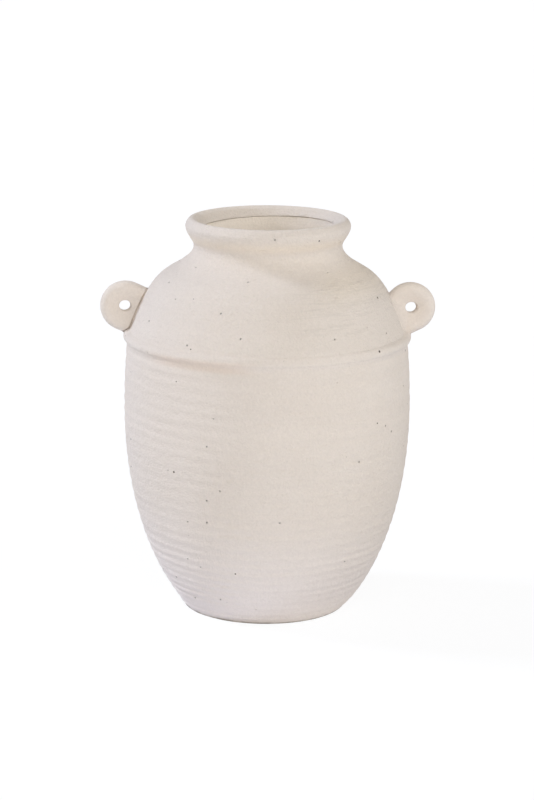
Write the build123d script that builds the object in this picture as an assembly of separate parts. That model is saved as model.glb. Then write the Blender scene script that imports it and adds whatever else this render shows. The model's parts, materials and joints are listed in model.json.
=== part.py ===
# A two-lugged clay storage jar, raised in luted sections.
# Millimetres, +Z up, origin at the middle of the underside, lugs on the X axis.
import os
from math import acos, degrees

from build123d import *

# Belly: from the flat base up to the seam under the shoulder
BASE_RADIUS = 57.0
BASE_SLOPE = 49.0
BASE_EDGE_ROUND = 1.5
HIP_HEIGHT = 62.0
HIP_INSET = 10.9
BELLY_RISE = 78.0
BELLY_RADIUS = 100.0
RIDGE_RISE = 52.0
RIDGE_INSET = 2.3

# Shoulder: a cone that turns over into a dome
SHOULDER_RISE = 26.0
SHOULDER_INSET = 13.2
DOME_RISE = 29.8
DOME_BULGE = 4.2

# Neck: a hollow curve between the dome and the rolled rim
NECK_RADIUS = 51.6
NECK_ROOT_SPREAD = 4.6
NECK_ROOT_RISE = 8.3
NECK_FLARE_SPREAD = 2.4
NECK_FLARE_RISE = 5.8

# Rim: a thick roll with a sloping lip inside
RIM_OVERHANG = 5.7
RIM_RISE = 7.9
CROWN_RISE = 6.0
CROWN_INSET = 4.2
LIP_WIDTH = 7.2
LIP_DROP = 6.5
LIP_UNDERCUT = 1.6

# Clay thickness
WALL = 6.5
NECK_WALL = 5.4
FLOOR = 9.0

# Laps where one section is luted to the next
LAP = 4.0
BASE_REBATE_HEIGHT = 4.5
BASE_REBATE_WIDTH = 3.0
BELLY_SEAM_HEIGHT = 96.0

# Coil pressed into the corner between floor and wall
COIL_RADIUS = 6.0

# Band smoothed on over the shoulder seam
BAND_DEPTH = 2.9
BAND_LIFT = 2.0
BAND_DROP = 6.0
BAND_RISE = 7.5

# Pierced ear lugs
LUG_SEAT_RISE = 17.5
LUG_STANDOFF = 9.4
LUG_RADIUS = 17.2
LUG_ROOT_RISE = 33.5
LUG_THICKNESS = 10.0
LUG_ROUND = 4.4
LUG_BORDER = 5.5
LUG_WEB = 6.5
LUG_HOLE_RADIUS = 4.0

# Heights up the wall
belly_height = HIP_HEIGHT + BELLY_RISE
ridge_height = belly_height + RIDGE_RISE
shoulder_height = ridge_height + SHOULDER_RISE
neck_root_height = shoulder_height + DOME_RISE
neck_height = neck_root_height + NECK_ROOT_RISE
rim_root_height = neck_height + NECK_FLARE_RISE
rim_height = rim_root_height + RIM_RISE
crown_height = rim_height + CROWN_RISE
throat_height = crown_height - LIP_DROP

# Radii up the wall
hip_radius = BELLY_RADIUS - HIP_INSET
ridge_radius = BELLY_RADIUS - RIDGE_INSET
shoulder_radius = BELLY_RADIUS - SHOULDER_INSET
neck_root_radius = NECK_RADIUS + NECK_ROOT_SPREAD
rim_root_radius = NECK_RADIUS + NECK_FLARE_SPREAD
rim_radius = NECK_RADIUS + RIM_OVERHANG
crown_radius = rim_radius - CROWN_INSET
throat_radius = crown_radius - LIP_WIDTH
neck_inner_radius = NECK_RADIUS - NECK_WALL
neck_step_radius = NECK_RADIUS - NECK_WALL / 2

# Past the widest and highest clay, for shapes that only cut
reach = 2 * BELLY_RADIUS
UPWARDS = (0, 1)
OUTWARDS = (1, 0)


def inside_of(edge, share, thickness):
    """The point a share of the way up an outer line, moved inwards through the wall."""
    along = edge % share
    return edge @ share + Vector(-along.Y, along.X) * thickness


def outer_point(face, height):
    """Where the outside of a cross-section lies at a height."""
    level_line = Line((0, height), (reach, height)) & face
    return level_line.vertices().sort_by(Axis.X)[-1].center()


# Outer line of the wall, drawn flat as radius and height
base_lean = Vector(1, 0).rotate(Axis.Z, BASE_SLOPE)
belly_line = Spline(
    (BASE_RADIUS, 0),
    (hip_radius, HIP_HEIGHT),
    (BELLY_RADIUS, belly_height),
    (ridge_radius, ridge_height),
    tangents=(base_lean, (-RIDGE_INSET, RIDGE_RISE / 2)),
)

shoulder_point = Vector(shoulder_radius, shoulder_height)
neck_root_point = Vector(neck_root_radius, neck_root_height)
dome_chord = neck_root_point - shoulder_point
dome_outwards = Vector(dome_chord.Y, -dome_chord.X).normalized()
dome_point = (shoulder_point + neck_root_point) / 2 + dome_outwards * DOME_BULGE
shoulder_line = Spline(
    (ridge_radius, ridge_height),
    shoulder_point,
    dome_point,
    neck_root_point,
    (NECK_RADIUS, neck_height),
    tangents=(shoulder_point - Vector(ridge_radius, ridge_height), UPWARDS),
)

rim_line = Spline(
    (NECK_RADIUS, neck_height),
    (rim_root_radius, rim_root_height),
    (rim_radius, rim_height),
    tangents=(UPWARDS, UPWARDS),
)
crown_line = TangentArc((rim_radius, rim_height), (crown_radius, crown_height), tangent=UPWARDS)

# Everything within the outer line
solid_face = make_face([
    belly_line,
    shoulder_line,
    rim_line,
    crown_line,
    Polyline((crown_radius, crown_height), (0, crown_height), (0, 0), (BASE_RADIUS, 0)),
])
base_corner = solid_face.vertices().filter_by(lambda corner: corner.Y == 0).sort_by(Axis.X)[-1]
solid_face = fillet(base_corner, BASE_EDGE_ROUND)

# Hollow inside: follows the outer line a wall's thickness in, then turns out under the lip
belly_shares = (0.0, 0.08, 0.18, 0.35, 0.55, 0.75, 0.92)
shoulder_shares = (0.14, 0.32, 0.48, 0.64, 0.78)
hollow_points = [inside_of(belly_line, share, WALL) for share in belly_shares]
hollow_points += [inside_of(shoulder_line, share, WALL) for share in shoulder_shares]
hollow_points.append(Vector(neck_inner_radius, neck_height))
hollow_foot = hollow_points[0]
hollow_line = Spline(*hollow_points, tangents=(belly_line % 0, UPWARDS))
undercut_line = Polyline(
    (neck_inner_radius, neck_height),
    (throat_radius + LIP_UNDERCUT, throat_height - LIP_UNDERCUT),
    (throat_radius, throat_height),
)
lip_line = Spline(
    (throat_radius, throat_height),
    (crown_radius, crown_height),
    tangents=(UPWARDS, OUTWARDS),
)
mouth_line = Polyline(
    (crown_radius, crown_height),
    (crown_radius, crown_height + reach),
    (0, crown_height + reach),
    (0, 0),
    (hollow_foot.X, 0),
    hollow_foot,
)
hollow_face = make_face([hollow_line, undercut_line, lip_line, mouth_line])
hollow_face -= Pos(0, FLOOR - reach / 2) * Rectangle(2 * reach, reach)
clay_face = solid_face - hollow_face

# Each seam steps at a radius: outside it lies at one height, inside it a lap higher
belly_step_radius = outer_point(solid_face, BELLY_SEAM_HEIGHT).X - WALL / 2
base_seam = (BASE_REBATE_HEIGHT, BASE_RADIUS - BASE_REBATE_WIDTH, FLOOR)
belly_seam = (BELLY_SEAM_HEIGHT, belly_step_radius, BELLY_SEAM_HEIGHT + LAP)
shoulder_seam = (ridge_height, ridge_radius - WALL / 2, ridge_height + LAP)
neck_seam = (neck_root_height, neck_step_radius, neck_root_height + LAP)
rim_seam = (rim_root_height, neck_step_radius, rim_root_height + LAP)


def below(seam):
    """The flat region under a stepped seam."""
    outer_height, step_radius, inner_height = seam
    corners = [
        (0, -reach),
        (reach, -reach),
        (reach, outer_height),
        (step_radius, outer_height),
        (step_radius, inner_height),
        (0, inner_height),
    ]
    return make_face(Polyline(*corners, close=True))


def turned(face):
    """A cross-section turned round the jar's upright axis."""
    return revolve(Plane.XZ * face, Axis.Z)


def wall_sections():
    """The luted sections of the wall, from the base up."""
    return {
        "base_disc": clay_face & below(base_seam),
        "lower_belly": clay_face & below(belly_seam) - below(base_seam),
        "upper_belly": clay_face & below(shoulder_seam) - below(belly_seam),
        "shoulder_dome": clay_face & below(neck_seam) - below(shoulder_seam),
        "neck_collar": clay_face & below(rim_seam) - below(neck_seam),
        "rim_roll": clay_face - below(rim_seam),
    }


def seam_coil_section():
    """A coil pressed into the corner where the wall meets the floor."""
    floor_corners = hollow_face.vertices().filter_by(lambda corner: abs(corner.Y - FLOOR) < 1e-6)
    corner = floor_corners.sort_by(Axis.X)[-1]
    return hollow_face & Pos(corner.X, corner.Y) * Circle(COIL_RADIUS)


def band_section():
    """A soft band laid on the wall over the shoulder seam, drawn out thin above and below."""
    foot = outer_point(solid_face, ridge_height - BAND_DROP)
    nose = Vector(ridge_radius + BAND_DEPTH, ridge_height + BAND_LIFT)
    top = outer_point(solid_face, ridge_height + BAND_RISE)
    band_line = Spline(foot, nose, top, tangents=(nose - foot, UPWARDS, top - nose))
    return make_face([band_line, Line(top, foot)]) - solid_face


def touch_point(centre, radius, point, turn):
    """Where a line from a point touches a circle, on the side that the sign of the turn gives."""
    away = point - centre
    lean = degrees(acos(radius / away.length))
    return centre + away.normalized().rotate(Axis.Z, turn * lean) * radius


def lug(band):
    """A pierced ear with a rounded edge and dished faces, its root cut to the shoulder and the band."""
    seat = outer_point(solid_face, ridge_height + LUG_SEAT_RISE)
    along = shoulder_line % shoulder_line.param_at_point(seat)
    centre = seat + Vector(along.Y, -along.X) * LUG_STANDOFF

    # The ear's outline is a circle drawn out to both ends of its root
    root_share = shoulder_line.param_at_point(outer_point(solid_face, ridge_height + LUG_ROOT_RISE))
    root_top = inside_of(shoulder_line, root_share, WALL)
    root_foot = Vector(ridge_radius - WALL, ridge_height + BAND_LIFT)
    high_touch = touch_point(centre, LUG_RADIUS, root_top, -1)
    low_touch = touch_point(centre, LUG_RADIUS, root_foot, 1)
    outline = make_face([
        ThreePointArc(low_touch, centre + Vector(LUG_RADIUS, 0), high_touch),
        Polyline(high_touch, root_top, root_foot, low_touch),
    ])
    ear = extrude(outline, LUG_THICKNESS / 2, both=True)
    face_edges = ear.edges().filter_by(Plane.XY).group_by(Axis.X)
    edges_off_the_root = [edge for group in face_edges[1:] for edge in group]
    ear = fillet(edges_off_the_root, LUG_ROUND)

    # Both faces are pressed in towards the hole
    dish_radius = LUG_RADIUS - LUG_BORDER
    dish_foot = Vector(LUG_HOLE_RADIUS, LUG_WEB / 2)
    dish_edge = Vector(dish_radius, LUG_THICKNESS / 2)
    dish_line = Spline(dish_foot, dish_edge, tangents=(OUTWARDS, dish_edge - dish_foot))
    above_line = Polyline(
        dish_edge,
        (dish_radius, LUG_THICKNESS),
        (0, LUG_THICKNESS),
        (0, LUG_WEB / 2),
        dish_foot,
    )
    dish = revolve(Plane.XZ * make_face([dish_line, above_line]), Axis.Z)
    pressed = dish + mirror(dish, Plane.XY) + Cylinder(LUG_HOLE_RADIUS, 2 * LUG_THICKNESS)
    ear -= Pos(centre.X, centre.Y) * pressed
    return Plane.XZ * ear - turned(solid_face) - band


def all_pieces():
    """Every piece of the jar, by name."""
    pieces = {name: turned(face) for name, face in wall_sections().items()}
    pieces["base_seam_coil"] = turned(seam_coil_section())
    pieces["shoulder_band"] = turned(band_section())
    pieces["right_lug"] = lug(pieces["shoulder_band"])
    pieces["left_lug"] = mirror(pieces["right_lug"], Plane.YZ)
    return pieces


os.makedirs("parts", exist_ok=True)
for piece_name, piece in all_pieces().items():
    export_step(piece, f"parts/{piece_name}.step")
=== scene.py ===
# Dresses the two-lugged clay jar: turned wall sections, an applied band, pierced lugs and fired clay.
# Metres, +Z up, origin at the middle of the underside, lugs on the X axis.
import json
import math
from types import SimpleNamespace

import bmesh
import bpy
import numpy as np
from mathutils import Matrix


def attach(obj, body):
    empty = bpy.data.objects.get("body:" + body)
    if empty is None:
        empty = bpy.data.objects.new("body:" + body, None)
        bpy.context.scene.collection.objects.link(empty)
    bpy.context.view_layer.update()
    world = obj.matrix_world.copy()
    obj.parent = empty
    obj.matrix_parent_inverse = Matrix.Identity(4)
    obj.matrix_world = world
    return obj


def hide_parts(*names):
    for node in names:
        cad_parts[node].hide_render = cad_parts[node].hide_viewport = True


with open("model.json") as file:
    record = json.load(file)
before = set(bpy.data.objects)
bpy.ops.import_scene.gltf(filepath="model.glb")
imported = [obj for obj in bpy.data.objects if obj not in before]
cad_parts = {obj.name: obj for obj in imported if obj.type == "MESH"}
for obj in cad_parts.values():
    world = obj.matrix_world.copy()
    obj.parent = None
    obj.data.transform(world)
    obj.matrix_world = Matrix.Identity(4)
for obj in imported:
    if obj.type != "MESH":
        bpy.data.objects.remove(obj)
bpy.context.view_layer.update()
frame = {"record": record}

MM = 0.001
SEED = 7
SAME_POINT = 0.01 * MM

# Outer line of the jar, as radius and height
BASE_RADIUS = 57.0 * MM
BASE_SLOPE = math.radians(49.0)
BASE_EDGE_ROUND = 1.5 * MM
HIP_RADIUS, HIP_HEIGHT = 89.1 * MM, 62.0 * MM
BELLY_RADIUS, BELLY_HEIGHT = 100.0 * MM, 140.0 * MM
RIDGE_RADIUS, RIDGE_HEIGHT = 97.7 * MM, 192.0 * MM
SHOULDER_RADIUS, SHOULDER_HEIGHT = 86.8 * MM, 218.0 * MM
NECK_ROOT_RADIUS, NECK_ROOT_HEIGHT = 56.2 * MM, 247.8 * MM
NECK_RADIUS, NECK_HEIGHT = 51.6 * MM, 256.1 * MM
RIM_ROOT_RADIUS, RIM_ROOT_HEIGHT = 54.0 * MM, 261.9 * MM
RIM_RADIUS, RIM_HEIGHT = 57.3 * MM, 269.8 * MM
CROWN_RADIUS, CROWN_HEIGHT = 53.0 * MM, 275.2 * MM
LIP_RADIUS, LIP_HEIGHT = 49.4 * MM, 273.5 * MM
THROAT_RADIUS, THROAT_HEIGHT = 45.9 * MM, 268.8 * MM
DOME_BULGE = 3.8 * MM

# Inner line and seams
WALL = 6.5 * MM
NECK_WALL = 5.4 * MM
FLOOR = 9.0 * MM
LAP = 4.0 * MM
LIP_UNDERCUT = 0.5 * MM
NECK_TAPER = 2.4 * MM
BELLY_SEAM_HEIGHT = 96.0 * MM
BASE_REBATE_HEIGHT = 4.5 * MM
BASE_REBATE_WIDTH = 3.0 * MM
COIL_RADIUS = 6.0 * MM

# Spacing of the rings of faces, and counts of points
OUTSIDE_STEP = 0.8 * MM
INSIDE_STEP = 2.5 * MM
INNER_POINT_GAP = 18.0 * MM
RIDGE_TRIM_POINTS = 6
COIL_POINTS = 14
SEGMENTS = 288

# Directions in the section, as radius and height
UP = (0.0, 1.0)
OUT = (1.0, 0.0)
BASE_WAY = (math.cos(BASE_SLOPE), math.sin(BASE_SLOPE))
BELLY_END_WAY = (2 * (RIDGE_RADIUS - BELLY_RADIUS), RIDGE_HEIGHT - BELLY_HEIGHT)
SHOULDER_WAY = (SHOULDER_RADIUS - RIDGE_RADIUS, SHOULDER_HEIGHT - RIDGE_HEIGHT)
ROLL_END_WAY = (-1.0, -0.6)
LIP_TOP_WAY = (-0.5, -1.0)
LIP_FOOT_WAY = (-0.3, -1.0)


# Lines in the jar's section

def unit(way):
    """A direction of length one."""
    way = np.array(way, float)
    return way / np.linalg.norm(way)


def smooth_line(points, start_way, end_way, step):
    """A curve through points that leaves and arrives in the given directions, as close-set points."""
    points = np.array(points, float)
    gaps = np.linalg.norm(np.diff(points, axis=0), axis=1)
    count = len(points)
    matrix = np.eye(count)
    right = np.zeros((count, 2))
    right[0] = unit(start_way)
    right[-1] = unit(end_way)
    for index in range(1, count - 1):
        before, after = gaps[index - 1], gaps[index]
        matrix[index, index - 1:index + 2] = after, 2 * (before + after), before
        rise_before = (points[index] - points[index - 1]) * after / before
        rise_after = (points[index + 1] - points[index]) * before / after
        right[index] = 3 * (rise_before + rise_after)
    ways = np.linalg.solve(matrix, right)
    line = []
    for index, gap in enumerate(gaps):
        share = np.linspace(0, 1, max(2, math.ceil(gap / step)), endpoint=False)[:, None]
        line.append(
            (1 + 2 * share) * (1 - share) ** 2 * points[index]
            + share * (1 - share) ** 2 * gap * ways[index]
            + share ** 2 * (3 - 2 * share) * points[index + 1]
            + share ** 2 * (share - 1) * gap * ways[index + 1]
        )
    line.append(points[-1:])
    return np.concatenate(line)


def joined(*lines):
    """Lines that follow each other, as one line without doubled points."""
    points = np.concatenate([np.array(line, float) for line in lines])
    keep = np.ones(len(points), bool)
    keep[1:] = np.linalg.norm(np.diff(points, axis=0), axis=1) > SAME_POINT
    return points[keep]


def between(line, low, high):
    """The stretch of a rising line between two heights."""
    low_radius, high_radius = np.interp((low, high), line[:, 1], line[:, 0])
    inner = line[(line[:, 1] > low) & (line[:, 1] < high)]
    return joined([(low_radius, low)], inner, [(high_radius, high)])


def moved_inwards(line, distance):
    """A rising line moved towards the jar's inside, square to itself."""
    along = np.gradient(line, axis=0)
    along /= np.linalg.norm(along, axis=1)[:, None]
    return line + np.stack([-along[:, 1], along[:, 0]], axis=1) * distance


def thinned(line, step):
    """Points along a line, evenly spaced about a step apart."""
    run = np.concatenate([[0], np.cumsum(np.linalg.norm(np.diff(line, axis=0), axis=1))])
    marks = np.linspace(0, run[-1], max(2, math.ceil(run[-1] / step)))
    return np.stack([np.interp(marks, run, line[:, 0]), np.interp(marks, run, line[:, 1])], axis=1)


belly_line = smooth_line(
    [
        (BASE_RADIUS, 0),
        (HIP_RADIUS, HIP_HEIGHT),
        (BELLY_RADIUS, BELLY_HEIGHT),
        (RIDGE_RADIUS, RIDGE_HEIGHT),
    ],
    BASE_WAY,
    BELLY_END_WAY,
    OUTSIDE_STEP,
)
shoulder_point = np.array([SHOULDER_RADIUS, SHOULDER_HEIGHT])
neck_root_point = np.array([NECK_ROOT_RADIUS, NECK_ROOT_HEIGHT])
dome_chord = neck_root_point - shoulder_point
dome_point = (shoulder_point + neck_root_point) / 2 + unit((dome_chord[1], -dome_chord[0])) * DOME_BULGE
shoulder_line = smooth_line(
    [
        (RIDGE_RADIUS, RIDGE_HEIGHT),
        shoulder_point,
        dome_point,
        neck_root_point,
        (NECK_RADIUS, NECK_HEIGHT),
    ],
    SHOULDER_WAY,
    UP,
    OUTSIDE_STEP,
)
rim_line = smooth_line(
    [(NECK_RADIUS, NECK_HEIGHT), (RIM_ROOT_RADIUS, RIM_ROOT_HEIGHT), (RIM_RADIUS, RIM_HEIGHT)],
    UP,
    UP,
    OUTSIDE_STEP,
)
roll_line = smooth_line(
    [(RIM_RADIUS, RIM_HEIGHT), (CROWN_RADIUS, CROWN_HEIGHT), (LIP_RADIUS, LIP_HEIGHT)],
    UP,
    ROLL_END_WAY,
    OUTSIDE_STEP / 2,
)
roll_top = int(np.argmax(roll_line[:, 1]))
crown_line = roll_line[:roll_top + 1]
outer_line = joined(belly_line, shoulder_line, rim_line, crown_line)

neck_step_radius = NECK_RADIUS - NECK_WALL / 2
wall_outside = joined(belly_line[:-RIDGE_TRIM_POINTS], shoulder_line[RIDGE_TRIM_POINTS:])
inner_wall = moved_inwards(wall_outside, WALL)
inner_wall = inner_wall[inner_wall[:, 1] < NECK_ROOT_HEIGHT - WALL]
undercut_radius = THROAT_RADIUS + LIP_UNDERCUT
undercut_height = THROAT_HEIGHT - LIP_UNDERCUT
undercut_point = (undercut_radius, undercut_height)
neck_narrow = (NECK_RADIUS - NECK_WALL - NECK_TAPER, NECK_HEIGHT)
inner_line = smooth_line(
    [*thinned(inner_wall, INNER_POINT_GAP), neck_narrow],
    BASE_WAY,
    np.subtract(undercut_point, neck_narrow),
    INSIDE_STEP,
)
inner_line = joined(inner_line, [undercut_point])
lip_slope = smooth_line(
    [(LIP_RADIUS, LIP_HEIGHT), (THROAT_RADIUS, THROAT_HEIGHT)],
    LIP_TOP_WAY,
    LIP_FOOT_WAY,
    OUTSIDE_STEP,
)
lip_line = joined(roll_line[roll_top:], lip_slope)


def wall_radius(height):
    """The jar's outer radius at a height."""
    return float(np.interp(height, outer_line[:, 1], outer_line[:, 0]))


# Each seam's height outside, the radius of its step, and its height inside, which is a little more
base_seam = (BASE_REBATE_HEIGHT, BASE_RADIUS - BASE_REBATE_WIDTH, FLOOR)
belly_seam = (BELLY_SEAM_HEIGHT, wall_radius(BELLY_SEAM_HEIGHT) - WALL / 2, BELLY_SEAM_HEIGHT + LAP)
shoulder_seam = (RIDGE_HEIGHT, RIDGE_RADIUS - WALL / 2, RIDGE_HEIGHT + LAP)
neck_seam = (NECK_ROOT_HEIGHT, neck_step_radius, NECK_ROOT_HEIGHT + LAP)
rim_seam = (RIM_ROOT_HEIGHT, neck_step_radius, RIM_ROOT_HEIGHT + LAP)


def ring_section(low_seam, high_seam):
    """The closed section of a wall ring between two seams."""
    low_outer, low_step, low_inner = low_seam
    high_outer, high_step, high_inner = high_seam
    outside = between(outer_line, low_outer, high_outer)
    inside = between(inner_line, low_inner, high_inner)[::-1]
    top_step = [(high_step, high_outer), (high_step, high_inner)]
    foot_step = [(low_step, low_inner), (low_step, low_outer)]
    return joined(outside, top_step, inside, foot_step)


def rim_section():
    """The closed section of the rolled rim, with its lip and undercut."""
    seam_outer, seam_step, seam_inner = rim_seam
    outside = between(outer_line, seam_outer, outer_line[-1, 1])
    inside = between(inner_line, seam_inner, undercut_height)[::-1]
    return joined(outside, lip_line, inside, [(seam_step, seam_inner), (seam_step, seam_outer)])


def base_section():
    """The open section of the base disc, from the axis under it to the axis on the floor."""
    rebate_radius = BASE_RADIUS - BASE_REBATE_WIDTH
    edge_reach = BASE_EDGE_ROUND * math.tan(BASE_SLOPE / 2)
    flat_edge = BASE_RADIUS - edge_reach
    round_top = np.array([BASE_RADIUS, 0]) + np.array(BASE_WAY) * edge_reach
    underside = thinned(np.array([(0, 0), (flat_edge, 0)]), INSIDE_STEP)
    edge = smooth_line([(flat_edge, 0), round_top], OUT, BASE_WAY, OUTSIDE_STEP / 2)
    side = between(outer_line, round_top[1], BASE_REBATE_HEIGHT)
    floor = thinned(np.array([(rebate_radius, FLOOR), (0, FLOOR)]), INSIDE_STEP)
    return joined(underside, edge, side, [(rebate_radius, BASE_REBATE_HEIGHT)], floor)


def coil_section():
    """The closed section of the coil pressed into the corner of the floor."""
    corner = np.array([np.interp(FLOOR, inner_line[:, 1], inner_line[:, 0]), FLOOR])
    wall = between(inner_line, FLOOR, FLOOR + COIL_RADIUS)
    reach = np.linalg.norm(wall - corner, axis=1)
    wall = wall[reach < COIL_RADIUS]
    last_way = wall[-1] - corner
    lean = math.atan2(last_way[1], last_way[0])
    turn = np.linspace(lean, math.pi, COIL_POINTS)
    bead = corner + COIL_RADIUS * np.stack([np.cos(turn), np.sin(turn)], axis=1)
    return joined(wall, bead)


# The applied band

BAND_FOOT_HEIGHT = 186.0 * MM
BAND_CREASE_HEIGHT = 190.6 * MM
BAND_NOSE_HEIGHT = 194.0 * MM
BAND_TOP_HEIGHT = 199.4 * MM
BAND_GROOVE_HEIGHT = 197.4 * MM
BAND_GROOVE_DEPTH = 0.4 * MM
BAND_GROOVE_WIDTH = 0.6 * MM
BAND_DEPTH = 2.8 * MM
BAND_SWELL = 1.1 * MM
BAND_STEP = 0.35 * MM
BAND_SUNK = 0.3 * MM
BAND_SWELL_WAY = (1.0, 3.0)
BAND_NOSE_WAY = (2.0, 1.0)
BAND_WEAR = 0.5
EDGE_WEAR_SHARE = 0.2


def band_line():
    """The outside of the band: a swell from the belly, a crease, a round nose and a grooved top."""
    swell = smooth_line(
        [
            (wall_radius(BAND_FOOT_HEIGHT), BAND_FOOT_HEIGHT),
            (RIDGE_RADIUS + BAND_SWELL, BAND_CREASE_HEIGHT - BAND_STEP),
        ],
        UP,
        BAND_SWELL_WAY,
        OUTSIDE_STEP / 2,
    )
    nose = smooth_line(
        [
            (RIDGE_RADIUS + BAND_SWELL + BAND_STEP, BAND_CREASE_HEIGHT),
            (RIDGE_RADIUS + BAND_DEPTH, BAND_NOSE_HEIGHT),
            (wall_radius(BAND_TOP_HEIGHT), BAND_TOP_HEIGHT),
        ],
        BAND_NOSE_WAY,
        SHOULDER_WAY,
        OUTSIDE_STEP / 2,
    )
    groove = BAND_GROOVE_DEPTH * np.exp(-((nose[:, 1] - BAND_GROOVE_HEIGHT) / BAND_GROOVE_WIDTH) ** 2)
    nose[:, 0] -= groove
    return joined(swell, nose)


def band_section():
    """The closed section of the band, from its outside to a little way into the wall."""
    wall = between(outer_line, BAND_FOOT_HEIGHT, BAND_TOP_HEIGHT)[::-1]
    return joined(band_line(), wall - (BAND_SUNK, 0))


def skin_radius(heights, wear):
    """The radius of the jar's outside with its band worn by a share, at some heights."""
    band = band_line()
    wall = np.interp(heights, outer_line[:, 1], outer_line[:, 0])
    proud = np.interp(heights, band[:, 1], band[:, 0], left=0, right=0) - wall
    return wall + np.maximum(proud, 0) * (1 - wear)


# Node helpers

RISING = (0.0, 1.0)
FALLING = (1.0, 0.0)


def add_node(tree, kind, inputs=None, **settings):
    """A node with its settings made and its inputs set or linked."""
    node = tree.nodes.new(kind)
    for name, value in settings.items():
        setattr(node, name, value)
    for name, value in (inputs or {}).items():
        if isinstance(value, bpy.types.NodeSocket):
            tree.links.new(value, node.inputs[name])
        else:
            node.inputs[name].default_value = value
    return node


def math_node(tree, operation, first, second=0.0, third=0.0, clamp=False):
    """The result of a sum on sockets or numbers."""
    inputs = {0: first, 1: second, 2: third}
    return add_node(tree, "ShaderNodeMath", inputs, operation=operation, use_clamp=clamp).outputs[0]


def product(tree, first, *others):
    """Sockets or numbers multiplied together."""
    for other in others:
        first = math_node(tree, "MULTIPLY", first, other)
    return first


def total(tree, first, *others):
    """Sockets or numbers added up."""
    for other in others:
        first = math_node(tree, "ADD", first, other)
    return first


def vector_node(tree, operation, inputs, result="Vector"):
    """The result of a sum on vectors."""
    return add_node(tree, "ShaderNodeVectorMath", inputs, operation=operation).outputs[result]


def ramp_between(tree, value, low, high, from_value=0.0, to_value=1.0):
    """A value eased from one number to another as it goes from low to high."""
    inputs = {"Value": value, "From Min": low, "From Max": high, "To Min": from_value, "To Max": to_value}
    node = add_node(tree, "ShaderNodeMapRange", inputs, interpolation_type="SMOOTHSTEP")
    return node.outputs["Result"]


def noise(tree, vector, scale, pattern, detail=1.0, roughness=0.5):
    """Smooth noise from 0 to 1 on a vector, with a number that gives each use its own pattern."""
    inputs = {"Vector": vector, "W": pattern, "Scale": scale, "Detail": detail, "Roughness": roughness}
    return add_node(tree, "ShaderNodeTexNoise", inputs, noise_dimensions="4D").outputs[0]


def stretched(tree, vector, across, upright):
    """A vector scaled alike across and otherwise upright, for marks that run round the jar."""
    return vector_node(tree, "MULTIPLY", {0: vector, 1: (across, across, upright)})


def thin_lines(tree, pattern, width):
    """Lines of a width where a smooth pattern passes its middle."""
    from_middle = math_node(tree, "ABSOLUTE", math_node(tree, "MULTIPLY_ADD", pattern, 2.0, -1.0))
    return ramp_between(tree, from_middle, 0.0, width, *FALLING)


def jar_place(tree, vector):
    """Measures of a place on the jar, as sockets: its vector, side, height, level part and radius."""
    split = add_node(tree, "ShaderNodeSeparateXYZ", {"Vector": vector}).outputs
    level = add_node(tree, "ShaderNodeCombineXYZ", {"X": split["X"], "Y": split["Y"]}).outputs[0]
    radius = vector_node(tree, "LENGTH", {0: level}, "Value")
    return {"vector": vector, "side": split["X"], "height": split["Z"], "level": level, "radius": radius}


def area(tree, place, limits):
    """A mask over the jar: each limit eases one measure of the place, and their shares multiply."""
    return product(tree, *(ramp_between(tree, place[measure], *ramp) for measure, *ramp in limits))


# Marks of the thrower's hand

COMMON_MARKS = {
    "Ring Pitch": 8.0 * MM,
    "Ring Depth": 0.52 * MM,
    "Line Depth": 0.32 * MM,
    "Dent Depth": 0.4 * MM,
    "Sway": 0.7 * MM,
    "Plump": 0.4 * MM,
    "Shoulder Fill": 2.2 * MM,
    "Foot Shift": 1.2 * MM,
    "Undercut Fill": 0.55 * MM,
    "Throat Tilt": math.tan(math.radians(1.5)),
    "Band Wear": 0.0,
    "Segments": SEGMENTS,
    "Seed": float(SEED),
}
BAND_MARKS = {"Band Wear": BAND_WEAR}

# Each use of noise has a pattern of its own, counted from the seed
SWAY_PATTERN, WANDER_PATTERN, STRENGTH_PATTERN, LINE_PATTERN, LINE_PATCH_PATTERN, DENT_PATTERN = range(6)

SWAY_SCALE = 9.0
DENT_SCALE = 48.0
DENT_DETAIL = 2.0
RING_WANDER_SCALE = 12.0
RING_WANDER = 7.0 * MM
CROWDED_RINGS_TOP = 70.0 * MM
RING_CROWDING = 3.2
RING_STRENGTH_STRETCH = (9.0, 55.0)
RING_STRENGTH = (0.35, 0.65, 0.4, 1.0)
LINE_STRETCH = (7.0, 105.0)
LINE_WIDTH = 0.1
LINE_PATCH_SCALE = 16.0
LINE_PATCHES = (0.32, 0.6, *RISING)
INWARD_TURN = -0.2
CREASE_ANGLE = math.radians(40)
AXIS_RADIUS = 0.001 * MM
INSIDE_MARK = "inside"

# Where the marks lie: a measure, where its ramp starts and ends, and the share at each end
LOW_RINGS_AREA = (("side", -45.0 * MM, 45.0 * MM, 1.5, 0.75),)
HIGH_RINGS_AREA = (("side", -60.0 * MM, 20.0 * MM, 0.7, 0.5),)
LOW_TO_HIGH_RINGS = (70.0 * MM, 120.0 * MM)
RING_FADE_AREA = (
    ("height", 185.0 * MM, 225.0 * MM, 1.0, 0.3),
    ("height", 25.0 * MM, 70.0 * MM, 1.6, 1.0),
)
LINE_FADE_AREA = (("height", 105.0 * MM, 150.0 * MM, 1.0, 0.6),)
FULL_SHOULDER_AREA = (
    ("height", BAND_NOSE_HEIGHT, BAND_TOP_HEIGHT, *RISING),
    ("height", BAND_TOP_HEIGHT, SHOULDER_HEIGHT, *FALLING),
)
BAND_WEAR_SPAN = (-45.0 * MM, 25.0 * MM)
BESIDE_LUG_AREA = (("side", 60.0 * MM, 95.0 * MM, 1.0, EDGE_WEAR_SHARE),)
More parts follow.
